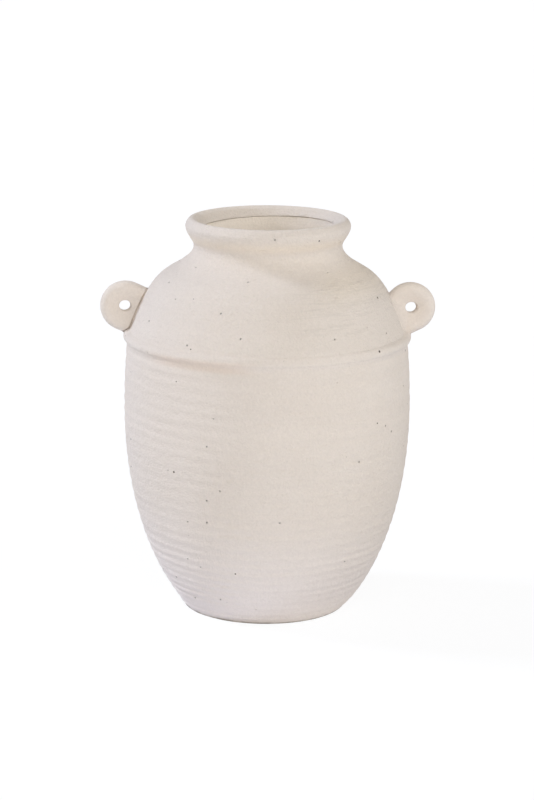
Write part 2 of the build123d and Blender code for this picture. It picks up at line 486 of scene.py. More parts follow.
SHALLOW_UNDERCUT_AREA = (
    ("side", -48.0 * MM, -18.0 * MM, *RISING),
    ("side", 8.0 * MM, 30.0 * MM, *FALLING),
    ("height", NECK_ROOT_HEIGHT, NECK_HEIGHT, *RISING),
)
THROAT_AREA = (
    ("radius", undercut_radius, LIP_RADIUS, *FALLING),
    ("height", NECK_HEIGHT, undercut_height, *RISING),
)
FOOT_AREA = (("height", 0.0, 10.0 * MM, *FALLING),)
BELOW_THROAT_AREA = (("height", undercut_height, THROAT_HEIGHT, *FALLING),)


def seeded_noise(tree, given, vector, scale, pattern, detail=1.0):
    """Noise with a pattern counted from the tree's seed."""
    return noise(tree, vector, scale, math_node(tree, "ADD", given["Seed"], pattern), detail)


def uneven_wall(tree, given, wall):
    """Depth of the wall's slow sway and of its small dents and lumps."""
    sway = seeded_noise(tree, given, wall["vector"], SWAY_SCALE, SWAY_PATTERN)
    dents = seeded_noise(tree, given, wall["vector"], DENT_SCALE, DENT_PATTERN, DENT_DETAIL)
    return total(tree, product(tree, sway, given["Sway"]), product(tree, dents, given["Dent Depth"]))


def finger_rings(tree, given, wall):
    """Depth of the finger rings: crowded and deep near the foot, and each of its own strength."""
    wander = seeded_noise(tree, given, wall["vector"], RING_WANDER_SCALE, WANDER_PATTERN)
    wander = math_node(tree, "SUBTRACT", wander, 0.5)
    wandered = math_node(tree, "MULTIPLY_ADD", wander, RING_WANDER, wall["height"])
    phase = math_node(tree, "DIVIDE", wandered, given["Ring Pitch"])
    rise = math_node(tree, "DIVIDE", wall["height"], CROWDED_RINGS_TOP)
    near_foot = math_node(tree, "SUBTRACT", 1.0, rise, clamp=True)
    crowding = product(tree, math_node(tree, "POWER", near_foot, 2.0), RING_CROWDING)
    phase = math_node(tree, "SUBTRACT", phase, crowding)
    wave = math_node(tree, "SINE", product(tree, phase, 2 * math.pi))
    wave = math_node(tree, "MULTIPLY_ADD", wave, 0.5, 0.5)
    low_rings = area(tree, wall, LOW_RINGS_AREA)
    high_rings = area(tree, wall, HIGH_RINGS_AREA)
    fade = ramp_between(tree, wall["height"], *LOW_TO_HIGH_RINGS, low_rings, high_rings)
    fade = product(tree, fade, area(tree, wall, RING_FADE_AREA))
    round_the_jar = stretched(tree, wall["vector"], *RING_STRENGTH_STRETCH)
    strength = seeded_noise(tree, given, round_the_jar, 1.0, STRENGTH_PATTERN)
    strength = ramp_between(tree, strength, *RING_STRENGTH)
    return product(tree, wave, fade, strength, given["Ring Depth"])


def dragged_lines(tree, given, wall):
    """Depth of fine lines dragged round the wall, in patches."""
    round_the_jar = stretched(tree, wall["vector"], *LINE_STRETCH)
    grooves = thin_lines(tree, seeded_noise(tree, given, round_the_jar, 1.0, LINE_PATTERN), LINE_WIDTH)
    patches = seeded_noise(tree, given, wall["vector"], LINE_PATCH_SCALE, LINE_PATCH_PATTERN)
    patches = ramp_between(tree, patches, *LINE_PATCHES)
    return product(tree, grooves, patches, given["Line Depth"], area(tree, wall, LINE_FADE_AREA))


def full_shoulder(tree, given, wall):
    """How far the shoulder runs out full to the band at the front and back, and not beside the lugs."""
    facing = add_node(tree, "ShaderNodeSeparateXYZ", {"Vector": wall["outwards"]}).outputs["Y"]
    front_and_back = math_node(tree, "POWER", facing, 2.0)
    return product(tree, front_and_back, given["Shoulder Fill"], area(tree, wall, FULL_SHOULDER_AREA))


def pressed_band(tree, given, wall):
    """How far the band was pressed flatter, from the middle to the right and less beside the lug."""
    shoulder_fall = (RIDGE_RADIUS - wall_radius(BAND_TOP_HEIGHT)) / (BAND_TOP_HEIGHT - RIDGE_HEIGHT)
    above_ridge = math_node(tree, "MAXIMUM", math_node(tree, "SUBTRACT", wall["height"], RIDGE_HEIGHT), 0.0)
    under_band = math_node(tree, "MULTIPLY_ADD", above_ridge, -shoulder_fall, RIDGE_RADIUS)
    proud = math_node(tree, "MAXIMUM", math_node(tree, "SUBTRACT", wall["radius"], under_band), 0.0)
    wear = ramp_between(tree, wall["side"], *BAND_WEAR_SPAN, 0.0, given["Band Wear"])
    return product(tree, proud, wear, area(tree, wall, BESIDE_LUG_AREA))


def shallow_undercut(tree, given, wall):
    """How far the undercut below the lip is filled, near the middle of the mouth."""
    in_neck = math_node(tree, "LESS_THAN", wall["radius"], neck_step_radius)
    under_lip = math_node(tree, "LESS_THAN", wall["height"], THROAT_HEIGHT - LIP_UNDERCUT / 2)
    return product(tree, in_neck, under_lip, area(tree, wall, SHALLOW_UNDERCUT_AREA), given["Undercut Fill"])


def slant_and_shift(tree, given, wall):
    """Offset of the throat's edge, cut a little aslant, and of the foot, set a little to the left."""
    lift = product(tree, wall["side"], given["Throat Tilt"], area(tree, wall, THROAT_AREA))
    shift = product(tree, area(tree, wall, FOOT_AREA), given["Foot Shift"], -1.0)
    return add_node(tree, "ShaderNodeCombineXYZ", {"X": shift, "Z": lift}).outputs[0]


def inside_mask(tree, wall):
    """A mask of the faces that look inwards, below the throat."""
    normal = tree.nodes.new("GeometryNodeInputNormal").outputs[0]
    turn = vector_node(tree, "DOT_PRODUCT", {0: normal, 1: wall["outwards"]}, "Value")
    inner = math_node(tree, "LESS_THAN", turn, INWARD_TURN)
    return product(tree, inner, area(tree, wall, BELOW_THROAT_AREA))


# The turned clay tree

def turned_wall(tree, given):
    """The section turned round the axis, with its seam and poles closed."""
    upright = add_node(
        tree, "GeometryNodeTransform",
        {"Geometry": given["Section"], "Rotation": (math.pi / 2, 0, 0)},
    )
    circle = add_node(
        tree, "GeometryNodeCurvePrimitiveCircle",
        {"Resolution": given["Segments"], "Radius": AXIS_RADIUS},
    )
    turned = add_node(
        tree, "GeometryNodeCurveToMesh",
        {"Curve": circle.outputs["Curve"], "Profile Curve": upright.outputs["Geometry"]},
    )
    closed = add_node(
        tree, "GeometryNodeMergeByDistance",
        {"Geometry": turned.outputs["Mesh"], "Distance": SAME_POINT},
    )
    return closed.outputs["Geometry"]


def creased_shading(tree, geometry):
    """Smooth shading with sharp edges where faces meet at a steep angle."""
    smooth = add_node(tree, "GeometryNodeSetShadeSmooth", {"Geometry": geometry})
    angle = tree.nodes.new("GeometryNodeInputMeshEdgeAngle").outputs["Unsigned Angle"]
    steep = add_node(tree, "FunctionNodeCompare", {0: angle, 1: CREASE_ANGLE}, operation="GREATER_THAN")
    creased = add_node(
        tree, "GeometryNodeSetShadeSmooth",
        {"Geometry": smooth.outputs[0], "Selection": steep.outputs[0], "Shade Smooth": False},
        domain="EDGE",
    )
    return creased.outputs[0]


def turned_clay_tree():
    """Geometry Nodes that turn a section round the axis and mark it as a thrower's hand does."""
    tree = bpy.data.node_groups.new("turned clay", "GeometryNodeTree")
    sockets = tree.interface
    sockets.new_socket("Section", in_out="INPUT", socket_type="NodeSocketGeometry")
    for name, value in COMMON_MARKS.items():
        kind = "NodeSocketInt" if isinstance(value, int) else "NodeSocketFloat"
        sockets.new_socket(name, in_out="INPUT", socket_type=kind)
    sockets.new_socket("Clay", in_out="INPUT", socket_type="NodeSocketMaterial")
    sockets.new_socket("Clay", in_out="OUTPUT", socket_type="NodeSocketGeometry")
    given = tree.nodes.new("NodeGroupInput").outputs

    wall = jar_place(tree, tree.nodes.new("GeometryNodeInputPosition").outputs[0])
    wall["outwards"] = vector_node(tree, "NORMALIZE", {0: wall["level"]})
    inwards = total(
        tree,
        uneven_wall(tree, given, wall),
        finger_rings(tree, given, wall),
        dragged_lines(tree, given, wall),
        pressed_band(tree, given, wall),
        shallow_undercut(tree, given, wall),
    )
    outwards = total(tree, given["Plump"], full_shoulder(tree, given, wall))
    swell = math_node(tree, "SUBTRACT", outwards, inwards)
    marks = vector_node(tree, "SCALE", {0: wall["outwards"], "Scale": swell})
    offset = vector_node(tree, "ADD", {0: marks, 1: slant_and_shift(tree, given, wall)})

    noted = add_node(
        tree, "GeometryNodeStoreNamedAttribute",
        {"Geometry": turned_wall(tree, given), "Name": INSIDE_MARK, "Value": inside_mask(tree, wall)},
        data_type="FLOAT", domain="POINT",
    )
    marked = add_node(
        tree, "GeometryNodeSetPosition",
        {"Geometry": noted.outputs["Geometry"], "Offset": offset},
    )
    shaded = creased_shading(tree, marked.outputs["Geometry"])
    real = add_node(tree, "GeometryNodeRealizeInstances", {"Geometry": shaded})
    clad = add_node(
        tree, "GeometryNodeSetMaterial",
        {"Geometry": real.outputs[0], "Material": given["Clay"]},
    )
    result = tree.nodes.new("NodeGroupOutput")
    tree.links.new(clad.outputs[0], result.inputs[0])
    return tree


def turned_piece(name, section, clay, marks):
    """A mesh piece turned from a section, which is closed unless it starts on the axis."""
    curve = bpy.data.curves.new(name + " section", "CURVE")
    curve.dimensions = "3D"
    spline = curve.splines.new("POLY")
    points = section[::-1]
    spline.points.add(len(points) - 1)
    for point, (radius, height) in zip(spline.points, points):
        point.co = (radius, 0, height, 1)
    spline.use_cyclic_u = bool(section[0][0] > 0)
    holder = bpy.data.objects.new(name + " section", curve)
    bpy.context.collection.objects.link(holder)
    modifier = holder.modifiers.new("turned clay", "NODES")
    modifier.node_group = clay_tree
    values = {**COMMON_MARKS, **marks, "Clay": clay}
    for item in clay_tree.interface.items_tree:
        if item.in_out == "INPUT" and item.name in values:
            modifier[item.identifier] = values[item.name]
    evaluated = holder.evaluated_get(bpy.context.evaluated_depsgraph_get())
    mesh = bpy.data.meshes.new_from_object(evaluated)
    mesh.name = name
    holder.modifiers.remove(modifier)
    bpy.data.objects.remove(holder)
    piece = bpy.data.objects.new(name, mesh)
    bpy.context.collection.objects.link(piece)
    return piece


# Pierced lugs

LUG_HALF_THICKNESS = 5.0 * MM
LUG_HALF_WEB = 3.0 * MM
LUG_ROUND = 4.6 * MM
LUG_DISH_RADIUS = 12.0 * MM
LUG_HOLE_HALF_WIDTH = 4.2 * MM
LUG_HOLE_HALF_HEIGHT = 3.7 * MM
LUG_HOLE_ROUND = 1.2 * MM
LUG_HOLE_SKEW = 0.8 * MM
LUG_SKEW_REACH = 5.0 * MM
LUG_ROOT_DEPTH = 1.0 * MM
LUG_GROOVE_WIDTH = 1.4 * MM
LUG_FILLET_FADE = 9.0 * MM
LUG_LEAST_FILLET = 0.2 * MM
LUG_LONGEST_SPOKE = 45.0 * MM
LUG_AROUND = 192
LUG_ACROSS = 44
LUG_EDGE_CROWDING = 1.6
LUG_EDGE_NORMALS = 400
LUG_ROOT_TRIES = 900
LEAST_SQUARENESS = 1e-6

# Each lug's side, its outline's radius, the place of its middle from the hole, the degrees where its
# straight edges leave the round, and its root: a fillet, a groove and the wear of the band under it
LEFT_EAR = SimpleNamespace(
    node="left_lug", side=-1, radius=17.6 * MM, inwards=0.6 * MM, lower=0.4 * MM, high=114, low=-67,
    fillet=0.0, groove=1.8 * MM, band_wear=0.0,
)
RIGHT_EAR = SimpleNamespace(
    node="right_lug", side=1, radius=17.4 * MM, inwards=0.3 * MM, lower=0.0, high=134, low=-64,
    fillet=7.0 * MM, groove=0.0, band_wear=BAND_WEAR * EDGE_WEAR_SHARE,
)


def eased(share):
    """A share from 0 to 1 that starts and ends gently."""
    share = np.clip(share, 0, 1)
    return share * share * (3 - 2 * share)


def round_over(share):
    """The height of a quarter round from 0 at its foot to 1 at its top."""
    return np.sqrt(np.clip(1 - (1 - np.clip(share, 0, 1)) ** 2, 0, 1))


def lug_edge(angle, ear):
    """How far a lug reaches from its hole at an angle, and how squarely the spoke meets its edge."""
    normals = np.radians(np.linspace(ear.low, ear.high, LUG_EDGE_NORMALS))
    offset = -ear.inwards * np.cos(normals) - ear.lower * np.sin(normals)
    squareness = np.maximum(np.cos(normals - angle), LEAST_SQUARENESS)
    reach = (ear.radius + offset) / squareness
    nearest = int(np.argmin(reach))
    return reach[nearest], squareness[nearest]


def lug_spoke(angle, centre, ear):
    """Points on the front of a lug from its hole outwards, as radius, depth and height."""
    centre_radius, centre_height = centre
    across, upright = math.cos(angle), math.sin(angle)
    edge, squareness = lug_edge(angle, ear)
    hole = 1 / math.hypot(across / LUG_HOLE_HALF_WIDTH, upright / LUG_HOLE_HALF_HEIGHT)

    # The spoke ends at the lug's edge, or a little way into the wall
    end = min(edge, LUG_LONGEST_SPOKE)
    tries = np.linspace(hole, end, LUG_ROOT_TRIES)
    clearance = centre_radius + tries * across - skin_radius(centre_height + tries * upright, ear.band_wear)
    buried = np.nonzero(clearance < -LUG_ROOT_DEPTH)[0]
    if len(buried):
        end = tries[buried[0]]
    fillet = max(LUG_LEAST_FILLET, ear.fillet * eased((edge - end) * squareness / LUG_FILLET_FADE))
    share = np.linspace(0, 1, LUG_ACROSS)
    out = hole + (1 - (1 - share) ** LUG_EDGE_CROWDING) * (end - hole)
    clear = np.maximum(np.interp(out, tries, clearance), 0)

    # Half the thickness: dished round the hole, rounded at edge and hole, with the root's fillet and groove
    dish = eased((out - hole) / (LUG_DISH_RADIUS - hole))
    half = LUG_HALF_WEB + (LUG_HALF_THICKNESS - LUG_HALF_WEB) * dish
    half = half * round_over((edge - out) * squareness / LUG_ROUND)
    half = half - LUG_HOLE_ROUND * (1 - round_over((out - hole) / LUG_HOLE_ROUND))
    half = half + fillet * (1 - round_over(clear / fillet))
    half = half - ear.groove * (1 - eased(clear / LUG_GROOVE_WIDTH))

    # The root bends round the jar with the wall
    height = centre_height + out * upright
    skin = skin_radius(height, ear.band_wear)
    bend = skin - np.sqrt(skin ** 2 - half ** 2)
    radius = centre_radius + out * across - bend * (1 - eased(clear / (2 * fillet)))
    return np.stack([radius, -half, height], axis=1)


def lug_piece(ear, clay):
    """A pierced ear with its root set a little into the wall."""
    mount = next(m for m in frame["record"]["mounts"] if m["name"] == ear.node + "_hole")
    centre = abs(mount["pos_m"][0]), mount["pos_m"][2]
    points = []
    for angle in np.linspace(-math.pi, math.pi, LUG_AROUND, endpoint=False):
        front = lug_spoke(angle, centre, ear)
        points += [front, front[::-1] * (1, -1, 1)]
    points = np.concatenate(points) * (ear.side, 1, 1)
    from_hole = np.hypot(points[:, 0] - ear.side * centre[0], points[:, 2] - centre[1])
    skew = 1 - eased((from_hole - LUG_HOLE_HALF_HEIGHT) / LUG_SKEW_REACH)
    points[:, 0] -= skew * LUG_HOLE_SKEW * np.clip(points[:, 1] / LUG_HALF_WEB, -1, 1)
    ring = 2 * LUG_ACROSS
    faces = []
    for index in range(LUG_AROUND):
        here = index * ring
        after = (index + 1) % LUG_AROUND * ring
        for step in range(ring):
            following = (step + 1) % ring
            faces.append([here + step, here + following, after + following, after + step])
    mesh = bpy.data.meshes.new(ear.node + "_clay")
    mesh.from_pydata(points.tolist(), [], faces)
    tidy_mesh(mesh)
    mesh.materials.append(clay)
    piece = bpy.data.objects.new(ear.node + "_clay", mesh)
    bpy.context.collection.objects.link(piece)
    return piece


def tidy_mesh(mesh):
    """Doubled points merged, faces turned outwards and shaded smooth."""
    work = bmesh.new()
    work.from_mesh(mesh)
    bmesh.ops.remove_doubles(work, verts=work.verts, dist=SAME_POINT)
    bmesh.ops.recalc_face_normals(work, faces=work.faces)
    for face in work.faces:
        face.smooth = True
    work.to_mesh(mesh)
    work.free()


# Sand, slip and specks

FINE_GRAIN_PATTERN, COARSE_GRAIN_PATTERN, SLIP_PATTERN = 11.0, 12.0, 13.0
CLOUD_PATTERN, CONTACT_SHADE_PATTERN, LEVEL_BAND_PATTERN = 21.0, 22.0, 23.0

SPECK_SIZE_SPREAD = 0.8
LEAST_SPECK_SIZE = 0.5
SPECK_EDGE = (0.8, 1.0, *FALLING)
FINE_GRAIN_DETAIL = 3.0
FINE_GRAIN_ROUGHNESS = 0.65
FINE_GRAIN_HEIGHT = 0.5
FINE_GRAIN_TONE = 0.5
COARSE_GRAIN_SCALE = 0.35
COARSE_GRAIN_DETAIL = 2.0
COARSE_GRAIN_HEIGHT = 0.6
PIT_SCALE = 0.32
PIT_SHARE = 0.04
PIT_EDGE = (0.06, 0.18, *FALLING)
SLIP_DETAIL = 3.0
SLIP_ROUGHNESS = 0.6


def shader_group(name, inputs, outputs):
    """A shader node group with named number inputs and outputs: its tree and the sockets inside it."""
    tree = bpy.data.node_groups.new(name, "ShaderNodeTree")
    tree.interface.new_socket("Vector", in_out="INPUT", socket_type="NodeSocketVector")
    for socket_name in inputs:
        tree.interface.new_socket(socket_name, in_out="INPUT", socket_type="NodeSocketFloat")
    for socket_name in outputs:
        tree.interface.new_socket(socket_name, in_out="OUTPUT", socket_type="NodeSocketFloat")
    return tree, tree.nodes.new("NodeGroupInput").outputs, tree.nodes.new("NodeGroupOutput").inputs


def scattered_cells(tree, vector, scale):
    """Cells scattered through the clay: the distance from each one's middle, and its chances."""
    cells = add_node(tree, "ShaderNodeTexVoronoi", {"Vector": vector, "Scale": scale}).outputs
    chances = add_node(tree, "ShaderNodeSeparateColor", {"Color": cells["Color"]}).outputs
    return cells["Distance"], chances


def iron_specks_group():
    """Round specks of iron, a few in every patch, as a mask."""
    tree, given, out = shader_group("iron specks", ["Scale", "Size", "Share"], ["Mask"])
    distance, chances = scattered_cells(tree, given["Vector"], given["Scale"])
    spread = math_node(tree, "MULTIPLY_ADD", chances[1], SPECK_SIZE_SPREAD, LEAST_SPECK_SIZE)
    near = math_node(tree, "DIVIDE", distance, product(tree, given["Size"], spread))
    spot = ramp_between(tree, near, *SPECK_EDGE)
    chosen = math_node(tree, "LESS_THAN", chances[0], given["Share"])
    tree.links.new(product(tree, spot, chosen), out["Mask"])
    return tree


def sandy_grain_group():
    """Sand in the clay: a height of fine grains and pits, and a tone that follows it."""
    tree, given, out = shader_group("sandy grain", ["Scale", "Pits"], ["Height", "Tone"])
    vector, scale = given["Vector"], given["Scale"]
    fine = noise(tree, vector, scale, FINE_GRAIN_PATTERN, FINE_GRAIN_DETAIL, FINE_GRAIN_ROUGHNESS)
    coarse_scale = product(tree, scale, COARSE_GRAIN_SCALE)
    coarse = noise(tree, vector, coarse_scale, COARSE_GRAIN_PATTERN, COARSE_GRAIN_DETAIL)
    distance, chances = scattered_cells(tree, vector, product(tree, scale, PIT_SCALE))
    chosen = math_node(tree, "LESS_THAN", chances[0], PIT_SHARE)
    pits = product(tree, ramp_between(tree, distance, *PIT_EDGE), chosen, given["Pits"])
    fine_height = product(tree, fine, FINE_GRAIN_HEIGHT)
    height = math_node(tree, "MULTIPLY_ADD", coarse, COARSE_GRAIN_HEIGHT, fine_height)
    tone = math_node(tree, "MULTIPLY_ADD", fine, FINE_GRAIN_TONE, -FINE_GRAIN_TONE / 2)
    tree.links.new(math_node(tree, "SUBTRACT", height, pits), out["Height"])
    tree.links.new(math_node(tree, "SUBTRACT", tone, pits), out["Tone"])
    return tree


def dragged_slip_group():
    """Slip dragged round the jar by a wet hand: long level streaks."""
    tree, given, out = shader_group("dragged slip", ["Across", "Upright"], ["Height"])
    scale = add_node(
        tree, "ShaderNodeCombineXYZ",
        {"X": given["Across"], "Y": given["Across"], "Z": given["Upright"]},
    ).outputs[0]
    vector = vector_node(tree, "MULTIPLY", {0: given["Vector"], 1: scale})
    streaks = noise(tree, vector, 1.0, SLIP_PATTERN, SLIP_DETAIL, SLIP_ROUGHNESS)
    tree.links.new(streaks, out["Height"])
    return tree


# Fired clay

CLAY_COLOUR = (0.775, 0.705, 0.640, 1.0)
WARM_CLAY_COLOUR = (0.745, 0.665, 0.590, 1.0)
# Painted light: the lower body turns paler and cooler towards the foot, as light bounced up from the floor
FOOT_BOUNCE_LIGHT_COLOUR = (0.800, 0.738, 0.710, 1.0)
# Painted light: the lowest part of the foot is lighter towards the right
FOOT_RIGHT_LIGHT_COLOUR = (0.885, 0.815, 0.775, 1.0)
# Painted light: the neck under the rim, and the shoulder right of the neck root, are lighter and warmer
# where the rim's shade falls
RIM_SHADE_LIGHT_COLOUR = (0.840, 0.750, 0.645, 1.0)
# Painted light: the inside below the throat is paler, less so towards the right
INSIDE_LIGHT_COLOUR = (0.95, 0.870, 0.780, 1.0)
# Painted shadow: a warm tan below the band's crease on the left, where the band's shadow falls
BAND_SHADOW_COLOUR = (0.785, 0.650, 0.545, 1.0)
SPECK_COLOUR = (0.075, 0.050, 0.036, 1.0)
FAINT_SPECK_COLOUR = (0.34, 0.26, 0.20, 1.0)
# Painted shadow: dark patches round the edge of the foot where it meets the floor
CONTACT_SHADE_COLOUR = (0.20, 0.165, 0.135, 1.0)

CLAY_ROUGHNESS = 0.9
CLAY_SHEEN = 0.25
GRAIN_SCALE = 700.0
GRAIN_TONE = 0.42
STREAK_ACROSS, STREAK_UPRIGHT = 130.0, 560.0
STREAK_TONE = 0.05
LEVEL_BAND_STRETCH = (5.0, 130.0)
LEVEL_BAND_TONE = 0.05
DRAWN_LINE_ACROSS, DRAWN_LINE_UPRIGHT = 9.0, 200.0
DRAWN_LINE_WIDTH = 0.07
CLOUD_SCALE = 22.0
CLOUD_DETAIL = 3.0
CLOUD_EDGE = (0.3, 0.7, *RISING)
CLOUD_SHARE = 0.35
SPECK_SCALE, SPECK_SIZE = 95.0, 0.07
SPECK_STRENGTH = 0.95
SPECK_SHIFT = (0.0, 0.0, 0.31)
FAINT_SPECK_SCALE, FAINT_SPECK_SIZE, FAINT_SPECK_SHARE = 150.0, 0.08, 0.06
FAINT_SPECK_STRENGTH = 0.3
CONTACT_SHADE_SCALE = 130.0
CONTACT_SHADE_DETAIL = 2.0
CONTACT_SHADE_PATCHES = (0.35, 0.6, 0.5, 1.0)
WIPED_GRAIN = 0.8
CALM_STREAKS = 0.35
INSIDE_RELIEF = 0.4

# Where each finish lies: a measure, where its ramp starts and ends, and the share at each end
# Painted bounce light from the floor, strongest at the foot
FOOT_BOUNCE_LIGHT_AREA = (("height", 0.0, BELLY_SEAM_HEIGHT, *FALLING),)
# Painted light on the foot, more of it on the right
FOOT_RIGHT_LIGHT_AREA = (
    ("height", 3.0 * MM, 24.0 * MM, *FALLING),
    ("side", -45.0 * MM, 45.0 * MM, *RISING),
)
# Painted shadow under the band on the left
BAND_SHADOW_AREA = (
    ("height", 184.0 * MM, 188.0 * MM, *RISING),
    ("height", 192.0 * MM, 195.0 * MM, *FALLING),
    ("side", -85.0 * MM, -65.0 * MM, *RISING),
    ("side", -30.0 * MM, 0.0, 0.5, 0.0),
)
# Painted warm light on the neck, in the rim's shade
NECK_LIGHT_AREA = (
    ("height", NECK_HEIGHT, RIM_ROOT_HEIGHT, *RISING),
    ("height", RIM_ROOT_HEIGHT, RIM_HEIGHT, *FALLING),
)
# Painted warm light on the shoulder right of the neck root, in the rim's shade
ROOT_LIGHT_AREA = (
    ("height", 222.0 * MM, 238.0 * MM, *RISING),
    ("height", 240.0 * MM, 250.0 * MM, *FALLING),
    ("side", 22.0 * MM, 52.0 * MM, 0.0, 0.75),
)
INSIDE_LIGHT_AREA = (("side", 12.0 * MM, 38.0 * MM, 1.0, 0.35),)
# Painted shade in the dragged lines on the right shoulder
LINE_SHADE_AREA = (
    ("height", 205.0 * MM, 213.0 * MM, *RISING),
    ("height", 236.0 * MM, 246.0 * MM, *FALLING),
    ("side", 0.0, 35.0 * MM, *RISING),
)
CONTACT_SHADE_AREA = (
    ("height", 0.0, 2.0 * MM, *FALLING),
    ("radius", BASE_RADIUS - 5.0 * MM, BASE_RADIUS - 2.0 * MM, *RISING),
)
CALM_AREA = (("height", 110.0 * MM, 155.0 * MM, *RISING),)
WIPED_AREA = (*CALM_AREA, ("height", 190.0 * MM, 200.0 * MM, *FALLING))

# Painted light and shade, each as an area and its colour
PAINTED_LIGHT_AND_SHADE_TINTS = (
    (FOOT_BOUNCE_LIGHT_AREA, FOOT_BOUNCE_LIGHT_COLOUR),
    (FOOT_RIGHT_LIGHT_AREA, FOOT_RIGHT_LIGHT_COLOUR),
    (BAND_SHADOW_AREA, BAND_SHADOW_COLOUR),
    (NECK_LIGHT_AREA, RIM_SHADE_LIGHT_COLOUR),
    (ROOT_LIGHT_AREA, RIM_SHADE_LIGHT_COLOUR),
)
WALL_FINISH = SimpleNamespace(
    grain_depth=1.6 * MM, streak_depth=0.4 * MM, pits=1.0,
    speck_share=0.3, brightness=0.993, line_shade_strength=0.055,
)
# Besides its finer grain, the lug clay is painted lighter than the wall's: painted light on the lugs
LUG_FINISH = SimpleNamespace(
    grain_depth=0.8 * MM, streak_depth=0.0, pits=0.5,
    speck_share=0.2, brightness=1.015, line_shade_strength=0.0,
)


def use_group(tree, group, **values):
    """The outputs of a shader node group placed in a material with its values."""
    return add_node(tree, "ShaderNodeGroup", values, node_tree=group).outputs


def mixed(tree, share, first, second):
    """Two colours mixed by a share."""
    return add_node(tree, "ShaderNodeMix", {0: share, 6: first, 7: second}, data_type="RGBA").outputs[2]


def lessened(tree, mask, least):
    """One where a mask is nothing, eased to a least share where it is full."""
    return ramp_between(tree, mask, 0.0, 1.0, 1.0, least)


def body_colour(tree, jar, inside):
    """The clay's colour: cloudy, with painted light and shade from foot to neck, and painted light inside.
    """
    cloud = noise(tree, jar["vector"], CLOUD_SCALE, CLOUD_PATTERN, CLOUD_DETAIL)
    cloud = product(tree, ramp_between(tree, cloud, *CLOUD_EDGE), CLOUD_SHARE)
    colour = mixed(tree, cloud, CLAY_COLOUR, WARM_CLAY_COLOUR)
    for limits, tint in PAINTED_LIGHT_AND_SHADE_TINTS:
        colour = mixed(tree, area(tree, jar, limits), colour, tint)
    # Painted light inside the mouth
    inside_light = product(tree, inside, area(tree, jar, INSIDE_LIGHT_AREA))
    return mixed(tree, inside_light, colour, INSIDE_LIGHT_COLOUR)


def clay_tone(tree, jar, sand, streaks, finish):
    """How light the clay is, painted a little lighter on the lugs, with its sand, streaks of slip and level
    bands, and painted shade in the dragged lines on the right shoulder.
    """
    bands = noise(tree, stretched(tree, jar["vector"], *LEVEL_BAND_STRETCH), 1.0, LEVEL_BAND_PATTERN)
    line_shade = use_group(
        tree, dragged_slip, Vector=jar["vector"], Across=DRAWN_LINE_ACROSS, Upright=DRAWN_LINE_UPRIGHT
    )["Height"]
    line_shade = product(tree, thin_lines(tree, line_shade, DRAWN_LINE_WIDTH), area(tree, jar, LINE_SHADE_AREA))
    tone = math_node(tree, "MULTIPLY_ADD", sand, GRAIN_TONE, finish.brightness)
    for pattern, depth in ((streaks, STREAK_TONE), (bands, LEVEL_BAND_TONE)):
        tone = math_node(tree, "MULTIPLY_ADD", math_node(tree, "SUBTRACT", pattern, 0.5), depth, tone)
    # Painted shade darkens the dragged lines
    return math_node(tree, "MULTIPLY_ADD", line_shade, -finish.line_shade_strength, tone)


def specked(tree, jar, colour, share):
    """A colour with faint specks and dark specks of iron on it."""
    faint = use_group(
        tree, iron_specks,
        Vector=jar["vector"], Scale=FAINT_SPECK_SCALE, Size=FAINT_SPECK_SIZE, Share=FAINT_SPECK_SHARE,
    )["Mask"]
    scattered = vector_node(tree, "ADD", {0: jar["vector"], 1: SPECK_SHIFT})
    dark = use_group(
        tree, iron_specks, Vector=scattered, Scale=SPECK_SCALE, Size=SPECK_SIZE, Share=share
    )["Mask"]
    colour = mixed(tree, product(tree, faint, FAINT_SPECK_STRENGTH), colour, FAINT_SPECK_COLOUR)
    return mixed(tree, product(tree, dark, SPECK_STRENGTH), colour, SPECK_COLOUR)


def foot_contact_shade(tree, jar):
    """A mask of painted contact shadow round the edge of the foot, in patches."""
    patches = noise(tree, jar["vector"], CONTACT_SHADE_SCALE, CONTACT_SHADE_PATTERN, CONTACT_SHADE_DETAIL)
    return product(tree, area(tree, jar, CONTACT_SHADE_AREA), ramp_between(tree, patches, *CONTACT_SHADE_PATCHES))


def clay_relief(tree, jar, inside, sand, streaks, finish):
    """The height of sand and streaks, calmer from the upper belly upwards and inside."""
    wiped = lessened(tree, area(tree, jar, WIPED_AREA), WIPED_GRAIN)
    calm = lessened(tree, area(tree, jar, CALM_AREA), CALM_STREAKS)
    height = product(tree, sand, finish.grain_depth, wiped)
    height = math_node(tree, "MULTIPLY_ADD", product(tree, streaks, calm), finish.streak_depth, height)
    return product(tree, height, lessened(tree, inside, INSIDE_RELIEF))


